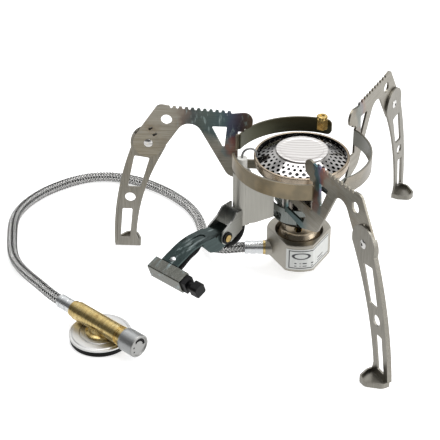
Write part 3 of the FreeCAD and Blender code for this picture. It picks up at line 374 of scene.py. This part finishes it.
def label_border(shade, around, z):
    """Distance in from the label's edge, and its border line."""
    from_top = shade.minus(LABEL_HALF_HEIGHT * MM, shade.off_centre(z, LABEL_MIDDLE_Z * MM))
    inset = shade.calc("MINIMUM", from_top, shade.minus(around, LABEL_LEFT * MM))
    line = shade.off_centre(inset, 1.3 * MM)
    return inset, shade.fade(line, 0.45, 0.25)


def label_bars(shade, around, z, inset):
    """Broken bars, 2.2 mm apart, where a maker would print its text."""
    wave = shade.calc("PINGPONG", shade.minus(z, 13.2 * MM), 1.1 * MM)
    gaps = shade.smooth(shade.noise(420.0, stretch=(1, 1, 0.05), detail=0.0), 0.42, 0.5)
    below_oval = shade.fade(z, LABEL_BARS_TOP + 0.4, LABEL_BARS_TOP)
    zone = shade.times(below_oval, shade.fade(inset, 2.4, 2.8))
    zone = shade.times(zone, shade.fade(around, LABEL_BARS_END, LABEL_BARS_END - 1.0))
    return shade.times(shade.fade(wave, 0.62, 0.74), gaps, zone)


def label_oval(shade, around, z):
    """Empty oval ring."""
    centre = scaled(LABEL_OVAL, MM)
    size = scaled(LABEL_OVAL_SIZE, MM)
    across = shade.calc("DIVIDE", shade.minus(around, centre[0]), size[0])
    up = shade.calc("DIVIDE", shade.minus(z, centre[1]), size[1])
    return shade.smooth(shade.off_centre(shade.length(across, up), 0.85), 0.2, 0.1)


def label_foil():
    """Silver foil with a thin dark border, a blank oval and plain bars; no lettering."""
    shade = Shade("label_foil")
    x, y, z = shade.split(shade.place)
    around = shade.times(shade.calc("ARCTAN2", y, x), LABEL_RADIUS * MM)
    grain = shade.noise(900.0, stretch=(1, 1, 0.2))
    foil = shade.mix(grain, (0.52, 0.53, 0.51), (0.70, 0.71, 0.69))
    inset, border = label_border(shade, around, z)
    bars = label_bars(shade, around, z, inset)
    tone = shade.mix(shade.calc("MAXIMUM", border, bars), foil, (0.05, 0.05, 0.055))
    tone = shade.mix(label_oval(shade, around, z), tone, (0.07, 0.07, 0.075))
    return shade.done(tone, shade.between(grain, 0.3, 0.42), metallic=0.75, relief=grain, edge=0.1)


def neck_steel():
    """Mixing tube, straw and bronze from the heat above it."""
    shade = Shade("neck_steel")
    _, _, z = shade.split(shade.place)
    lines = shade.streaks(shade.place, "z")
    wander = shade.times(shade.noise(80.0), 0.02)
    warm = shade.fade(shade.plus(z, wander), 34, 75)
    tone = shade.ramp(warm, (0.0, (0.40, 0.31, 0.20)), (0.5, (0.26, 0.19, 0.12)), (1.0, (0.10, 0.10, 0.12)))
    return shade.done(shade.lined(lines, tone, (0.34, 0.31, 0.26)), 0.24, relief=lines)


def burner_steel():
    """Housing: bronze and gold round the rolled rim, grey below, painted shade near black inside."""
    shade = Shade("burner_steel")
    _, _, z = shade.split(shade.place)
    distance = shade.from_axis(shade.place)
    clouds = shade.noise(70.0, detail=4.0)
    rim = shade.ramp(
        clouds, (0.3, (0.36, 0.27, 0.18)), (0.5, (0.48, 0.40, 0.31)), (0.7, (0.26, 0.22, 0.17)))
    tone = shade.mix(shade.fade(z, 78, 85), (0.24, 0.22, 0.19), rim)
    above_floor = shade.minus(z, shade.times(shade.minus(distance, 20.0 * MM), 0.5))
    # painted shade: the inside of the cup painted near black
    painted_shade_inside = shade.times(shade.fade(above_floor, 75.6, 76.0), shade.fade(distance, 30.1, 29.8))
    tone = shade.mix(painted_shade_inside, tone, grey(0.01))
    return shade.done(tone, shade.between(clouds, 0.18, 0.34), relief=shade.noise(1500.0), edge=0.3)


def screen_steel():
    """Bright flame plate, blued here and there and sooty beside the electrode."""
    shade = Shade("screen_steel")
    clouds = shade.noise(55.0)
    x, y, _ = shade.split(shade.place)
    tone = shade.ramp(
        clouds, (0.42, (0.50, 0.49, 0.48)), (0.6, (0.38, 0.37, 0.36)), (0.75, (0.18, 0.20, 0.22)))
    towards_electrode = shade.minus(shade.times(y, 0.5), x)
    sooty = shade.fade(shade.plus(towards_electrode, shade.between(clouds, -0.01, 0.01)), 16, 30)
    tone = shade.mix(shade.times(sooty, 0.85), tone, grey(0.10))
    return shade.done(tone, 0.1, relief=shade.noise(600.0), edge=0.12)


def cap_steel():
    """Cap disc with an off-centre swirl from brushing."""
    shade = Shade("cap_steel")
    swirl = shade.vector("SUBTRACT", shade.place, (0.0, 0.05, 0.0))
    wave = {"Vector": swirl, "Scale": 90.0, "Distortion": 9.0, "Detail": 4.0, "Detail Scale": 0.25}
    rings = shade.add("ShaderNodeTexWave", wave, wave_type="RINGS", rings_direction="Z").outputs[1]
    tone = shade.mix(rings, (0.60, 0.575, 0.56), (0.76, 0.745, 0.73))
    return shade.done(tone, shade.between(rings, 0.34, 0.44), relief=rings, depth=0.012, edge=0.3)


def ceramic():
    """White glazed insulator with a little soot."""
    shade = Shade("ceramic")
    soot = shade.smooth(shade.noise(260.0, detail=4.0), 0.58, 0.8)
    tone = shade.mix(soot, (0.78, 0.77, 0.73), (0.34, 0.31, 0.27))
    rough = shade.between(soot, 0.22, 0.5)
    return shade.done(tone, rough, metallic=0.0, relief=shade.noise(1200.0), edge=0.3)


def moulded(name, colour, roughness=0.36):
    """Moulded plastic or rubber with a fine grain."""
    shade = Shade(name)
    grain = shade.noise(2200.0, detail=2.0)
    clouds = shade.noise(80.0)
    worn = tuple(c * 1.6 + 0.003 for c in colour)
    tone = shade.mix(shade.smooth(clouds, 0.4, 0.8), colour, worn)
    rough = shade.between(clouds, roughness - 0.06, roughness + 0.12)
    return shade.done(tone, rough, metallic=0.0, relief=grain, depth=0.05, edge=0.3, Specular_IOR_Level=0.15)


def lever_steel(name="lever_steel", colour=(0.06, 0.085, 0.083)):
    """Dark blued sheet with light handling streaks along it."""
    shade = Shade(name)
    local = shade.turned(LEVER_ANGLE)
    clouds = shade.noise(1.0, local, (55.0, 240.0, 240.0), detail=4.0)
    tone = shade.lined(shade.streaks(local, "x"), scaled(colour, 0.6), colour)
    tone = shade.mix(shade.smooth(clouds, 0.56, 0.7), tone, (0.26, 0.31, 0.31))
    return shade.done(tone, shade.between(clouds, 0.1, 0.3), relief=clouds, depth=0.15, edge=0.3)


def disc_alloy():
    """Turned aluminium: rings round the canister socket's axis."""
    shade = Shade("disc_alloy")
    axis = (VALVE_CENTRE[0] * MM, VALVE_CENTRE[1] * MM, 0.0)
    radius = shade.from_axis(shade.turned(0.0, axis))
    tool_marks = {"W": radius, "Scale": 2600.0, "Detail": 3.0}
    rings = shade.add("ShaderNodeTexNoise", tool_marks, noise_dimensions="1D").outputs[0]
    tone = shade.mix(rings, (0.62, 0.62, 0.61), (0.84, 0.84, 0.83))
    return shade.done(tone, shade.between(rings, 0.26, 0.4), relief=rings, depth=0.03, edge=0.25)


def knob_plastic():
    """Satin metal-look knob; its recessed arrow and dots are painted black."""
    shade = Shade("knob_plastic")
    local = shade.turned(VALVE_ANGLE, scaled(VALVE_CENTRE, MM))
    x, y, z = shade.split(local)
    fine = shade.noise(1.0, local, (300.0, 1500.0, 1500.0))
    tone = shade.mix(fine, (0.36, 0.37, 0.37), (0.44, 0.45, 0.45))
    on_face = shade.fade(x, KNOB_FACE - 0.25, KNOB_FACE - 0.1)
    tone = shade.mix(on_face, tone, (0.36, 0.36, 0.35))
    recess = shade.times(shade.fade(x, KNOB_FACE - 0.15, KNOB_FACE - 0.25),
                         shade.fade(x, KNOB_FACE - 0.6, KNOB_FACE - 0.5))
    marks = shade.fade(shade.length(y, z), KNOB_MARKS_RADIUS + 0.2, KNOB_MARKS_RADIUS)
    tone = shade.mix(shade.times(recess, marks), tone, grey(0.005))
    return shade.done(tone, shade.between(fine, 0.3, 0.4), metallic=0.85, relief=fine, edge=0.35)


def braid_steel():
    """Ribbons of five bright wires each, with painted shade between the wires and where a ribbon dives
    under: v goes across a ribbon, "lift" is 1 where it lies on top.
    """
    shade = Shade("hose_braid")
    _, v, _ = shade.split(shade.uv)
    lift = shade.add("ShaderNodeAttribute", attribute_name="lift").outputs["Fac"]
    across = shade.calc("PINGPONG", shade.times(v, 5.0), 0.5)
    wire_relief_and_shade = shade.smooth(across, 0.0, 0.4)
    clouds = shade.noise(260.0)
    # painted shade: each wire darkens towards its edges, in the crevices between the wires
    tone = shade.mix(wire_relief_and_shade, grey(0.02), (0.95, 0.945, 0.93))
    # painted shade where a ribbon dives under its neighbours
    tone = shade.mix(shade.smooth(lift, 0.5, 0.0), tone, grey(0.12))
    tone = shade.mix(shade.between(clouds, 0.0, 0.2), tone, (0.40, 0.40, 0.39))
    return shade.done(tone, shade.between(clouds, 0.12, 0.26), relief=wire_relief_and_shade, depth=0.15, edge=0.0)


def node_materials():
    """Material of every CAD node."""
    sheet = {f"pot_arm_{side}": arm_steel(side) for side in ARM_ANGLES}
    sheet.update({f"leg_{side}": leg_steel(side) for side in ARM_ANGLES})
    yellow = brass()
    bright = brushed("ferrule_steel", (0.84, 0.86, 0.87), roughness=0.26, turn=VALVE_ANGLE, along="y")
    black = moulded("black_plastic", (0.004, 0.004, 0.0045))
    rubber = moulded("black_rubber", grey(0.004), roughness=0.5)
    return {
        **sheet,
        "leg_rivets": brushed("rivet_steel", (0.74, 0.73, 0.71), roughness=0.16, contrast=0.1),
        "valve_block": cast_alloy(),
        "block_label": label_foil(),
        "jet": yellow,
        "mixing_tube": neck_steel(),
        "carrier_cup": brushed("cup_steel", (0.26, 0.28, 0.265), roughness=0.24, along="z", contrast=0.4),
        "burner_cup": burner_steel(),
        "burner_screen": screen_steel(),
        "burner_cap": cap_steel(),
        "cap_stud": bright,
        "ring_post": brass("post_brass", (0.78, 0.56, 0.20), 0.16),
        "electrode_sleeve": brushed("sleeve_steel", (0.42, 0.41, 0.37), 0.36, along="z", contrast=0.12),
        "electrode_ceramic": ceramic(),
        "electrode_wire": brushed("wire_steel", grey(0.30), roughness=0.3, along="z"),
        "igniter_fork": brushed("fork_steel", (0.48, 0.485, 0.46), roughness=0.3, turn=LEVER_ANGLE),
        "lever_pin": brass("pin_brass", (0.60, 0.42, 0.16), 0.2),
        "pivot_washer": black,
        "igniter_lever": lever_steel(),
        "igniter_box": lever_steel("box_steel", (0.23, 0.235, 0.21)),
        "box_rivet": bright,
        "piezo_unit": black,
        "igniter_button": black,
        "cable_lower": rubber,
        "cable_upper": rubber,
        "inlet_fitting": yellow,
        "inlet_ferrule": bright,
        "valve_ferrule": bright,
        "gas_hose": rubber,
        "canister_valve": yellow,
        "valve_pin": yellow,
        "socket_ring": rubber,
        "adapter_disc": disc_alloy(),
        "adapter_seal": rubber,
        "valve_spindle": yellow,
        "spindle_ring": rubber,
        "control_knob": knob_plastic(),
    }


def paint_nodes():
    for node, material in node_materials().items():
        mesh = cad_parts[node].data
        mesh.materials.clear()
        mesh.materials.append(material)
        for polygon in mesh.polygons:
            polygon.material_index = 0


# --- braided hose --------------------------------------------------------------------------
def clamped_spline(points, first, last, samples):
    """Evenly stepped places on the smooth curve through points that has unit end directions."""
    points = np.array(points)
    steps = np.linalg.norm(np.diff(points, axis=0), axis=1)
    knots = np.concatenate([[0.0], np.cumsum(steps)])
    count = len(points)
    system = np.zeros((count, count))
    right = np.zeros((count, 3))
    system[0, 0] = system[-1, -1] = 1.0
    right[0], right[-1] = first, last
    for i in range(1, count - 1):
        before, after = steps[i - 1], steps[i]
        system[i, i - 1:i + 2] = after, 2 * (before + after), before
        arriving = after / before * (points[i] - points[i - 1])
        leaving = before / after * (points[i + 1] - points[i])
        right[i] = 3 * (arriving + leaving)
    slopes = np.linalg.solve(system, right)
    where = np.linspace(0.0, knots[-1], samples)
    span = np.clip(np.searchsorted(knots, where, side="right") - 1, 0, count - 2)
    t = ((where - knots[span]) / steps[span])[:, None]
    h = steps[span][:, None]
    start, end, out, into = points[span], points[span + 1], slopes[span], slopes[span + 1]
    return ((1 + 2 * t) * (1 - t) ** 2 * start + t * (1 - t) ** 2 * h * out
            + t * t * (3 - 2 * t) * end + t * t * (t - 1) * h * into)


def hose_line():
    """Centre line of the whole hose in millimetres, as closely stepped points."""
    turn = math.radians(VALVE_ANGLE)
    heading = np.array([math.cos(turn), math.sin(turn), 0.0])
    finish = np.array(VALVE_CENTRE) + heading * HOSE_VALVE_END
    last = finish - heading * HOSE_END_STRAIGHT
    middle = clamped_spline([*HOSE_POINTS, tuple(last)], (-1.0, 0.0, 0.0), heading, 1600)
    start = np.array(HOSE_POINTS[0]) + (HOSE_END_STRAIGHT, 0.0, 0.0)
    return np.concatenate([[start], middle, [finish]])


def even_frames(line, step):
    """Points at an even step along line, with a pair of cross directions that doesn't twist."""
    lengths = np.concatenate([[0.0], np.cumsum(np.linalg.norm(np.diff(line, axis=0), axis=1))])
    where = np.linspace(0.0, lengths[-1], int(lengths[-1] / step) + 1)
    places = np.stack([np.interp(where, lengths, line[:, k]) for k in range(3)], axis=1)
    heads = np.gradient(places, axis=0)
    heads /= np.linalg.norm(heads, axis=1)[:, None]
    side = np.cross(heads[0], (0.0, 0.0, 1.0))
    sides = []
    for head in heads:
        side = side - head * np.dot(side, head)
        side = side / np.linalg.norm(side)
        sides.append(side)
    sides = np.array(sides)
    return where, places, sides, np.cross(heads, sides)


def ribbon(frames, first_angle, hand, index):
    """One braid ribbon: rows of four points across, rising over two neighbours and diving under two."""
    where, places, sides, ups = frames
    turn_rate = 2 * math.pi / BRAID_PITCH * hand
    crossing = 2 * BRAID_CARRIERS * where / BRAID_PITCH
    phase = math.pi / 2 * (crossing + 2 * index * hand) - math.pi / 4
    wave = np.clip(1.5 * np.cos(phase), -1.0, 1.0) * hand
    lean = math.atan(2 * math.pi * HOSE_RADIUS / BRAID_PITCH)
    half_width = math.pi / BRAID_CARRIERS * RIBBON_COVER
    rows = []
    for share, drop in RIBBON_SECTION:
        angle = first_angle + turn_rate * where + share * half_width
        radius = HOSE_RADIUS - BRAID_LIFT - BRAID_MARGIN + BRAID_LIFT * wave - drop
        ring = sides * np.cos(angle)[:, None] + ups * np.sin(angle)[:, None]
        rows.append(places + ring * radius[:, None])
    lift = np.repeat(wave * 0.5 + 0.5, len(rows))
    return np.stack(rows, axis=1), where * math.cos(lean), lift


def grid_mesh(name, grids):
    """Mesh from grids in millimetres: points by row and column, length along the rows, lift."""
    vertices, faces, uvs, lifts = [], [], [], []
    for points, along, lift in grids:
        rows, columns = points.shape[:2]
        base = len(vertices)
        vertices.extend(map(tuple, points.reshape(-1, 3) * MM))
        lifts.extend(lift)
        for r in range(rows - 1):
            for c in range(columns - 1):
                corners = ((r, c), (r, c + 1), (r + 1, c + 1), (r + 1, c))
                faces.append([base + i * columns + j for i, j in corners])
                uvs.extend((along[i] / 10, j / (columns - 1)) for i, j in corners)
    mesh = bpy.data.meshes.new(name)
    mesh.from_pydata(vertices, [], faces)
    layer = mesh.uv_layers.new(name="UVMap")
    layer.data.foreach_set("uv", [x for pair in uvs for x in pair])
    mesh.attributes.new("lift", "FLOAT", "POINT").data.foreach_set("value", lifts)
    mesh.shade_smooth()
    return placed(name, mesh)


def placed(name, data):
    """Object for a mesh, light or camera, linked into the scene."""
    piece = bpy.data.objects.new(name, data)
    bpy.context.scene.collection.objects.link(piece)
    return piece


def hose_core(line):
    """Tube inside the braid, as a grid."""
    where, places, sides, ups = even_frames(line, CORE_STEP)
    turns = np.linspace(0.0, 2 * math.pi, CORE_SIDES + 1)
    ring = sides[:, None] * np.cos(turns)[:, None] + ups[:, None] * np.sin(turns)[:, None]
    tube = places[:, None] + ring * (HOSE_RADIUS - 2 * BRAID_LIFT - CORE_GAP)
    return tube, where, np.zeros(tube.shape[0] * tube.shape[1])


def braided_hose():
    """Woven steel sleeve and the dark tube inside it."""
    line = hose_line()
    frames = even_frames(line, BRAID_STEP)
    grids = []
    for index in range(BRAID_CARRIERS):
        angle = 2 * math.pi * index / BRAID_CARRIERS
        grids.append(ribbon(frames, angle, 1, index))
        grids.append(ribbon(frames, angle, -1, index))
    braid = grid_mesh("hose_braid", grids)
    braid.data.materials.append(braid_steel())
    core = grid_mesh("hose_core", [hose_core(line)])
    core.data.materials.append(moulded("hose_core", grey(0.01), roughness=0.5))
    for piece in (braid, core):
        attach(piece, "stove")
    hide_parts("gas_hose")


# --- studio --------------------------------------------------------------------------------
def floor():
    """White paper to the eye; reflections see it darker, but for its bright right-hand side."""
    mesh = bpy.data.meshes.new("floor")
    signs = ((-1, -1), (1, -1), (1, 1), (-1, 1))
    corners = [(x * FLOOR_SIZE, y * FLOOR_SIZE, 0) for x, y in signs]
    mesh.from_pydata(corners, [], [(0, 1, 2, 3)])
    shade = Shade("floor")
    rays = shade.add("ShaderNodeLightPath")
    incoming, _, _ = shade.split(shade.add("ShaderNodeNewGeometry").outputs["Incoming"])
    paper = shade.mix(shade.noise(40.0), grey(0.93), grey(0.96))
    reflected = rays.outputs["Is Glossy Ray"]
    tone = shade.mix(reflected, paper, grey(0.0))
    seen = shade.mix(rays.outputs["Is Camera Ray"], grey(0.0), grey(FLOOR_GLOW))
    mirrored = shade.mix(shade.smooth(incoming, -0.25, -0.65), grey(FLOOR_DARK), grey(FLOOR_LIGHT))
    glow = shade.mix(reflected, seen, mirrored)
    lit = {"Emission_Color": glow, "Emission_Strength": 1.0}
    mesh.materials.append(shade.done(tone, 0.8, metallic=0.0, edge=0.0, **lit))
    placed("floor", mesh)


def softbox(name, place, size, power, target=(0.0, 0.0, 0.05)):
    light = bpy.data.lights.new(name, "AREA")
    light.shape = "RECTANGLE"
    light.size, light.size_y = size
    light.energy = power
    lamp = placed(name, light)
    lamp.location = place
    lamp.rotation_euler = (Vector(target) - Vector(place)).to_track_quat("-Z", "Y").to_euler()


def surroundings():
    """White room for plain light; reflections see it dark, with a bright ceiling, back and right."""
    world = bpy.data.worlds.new("studio")
    bpy.context.scene.world = world
    world.use_nodes = True
    room = WorldShade(world)
    x, y, z = room.split(room.ray)
    ceiling = room.smooth(z, 0.68, 0.88)
    wall = room.times(room.smooth(x, 0.35, 0.65), 0.8)
    back = room.times(room.smooth(y, 0.35, 0.7), room.smooth(z, 0.12, 0.35))
    panels = room.calc("MAXIMUM", ceiling, room.calc("MAXIMUM", wall, back))
    reflected = room.between(panels, ROOM_DARK, ROOM_LIGHT)
    is_glossy = room.add("ShaderNodeLightPath").outputs["Is Glossy Ray"]
    level = room.plus(room.times(is_glossy, room.minus(reflected, ROOM_PLAIN)), ROOM_PLAIN)
    background = world.node_tree.nodes["Background"]
    room.plug(background.inputs["Color"], grey(1.0))
    room.plug(background.inputs["Strength"], level)


def camera():
    data = bpy.data.cameras.new("camera")
    data.lens = CAMERA_LENS
    data.sensor_width = 36.0
    data.clip_start = 0.01
    view = placed("camera", data)
    view.location = CAMERA_PLACE
    view.rotation_euler = Vector(CAMERA_LOOK).to_track_quat("-Z", "Y").to_euler()
    bpy.context.scene.camera = view


def studio():
    floor()
    surroundings()
    softbox("top", (0.1, 0.15, 0.9), (0.9, 0.7), 5.0)
    softbox("right", (0.9, -0.25, 0.5), (0.6, 0.8), 4.0)
    camera()
    scene = bpy.context.scene
    scene.view_settings.view_transform = "Standard"
    scene.view_settings.look = "None"


paint_nodes()
braided_hose()
studio()
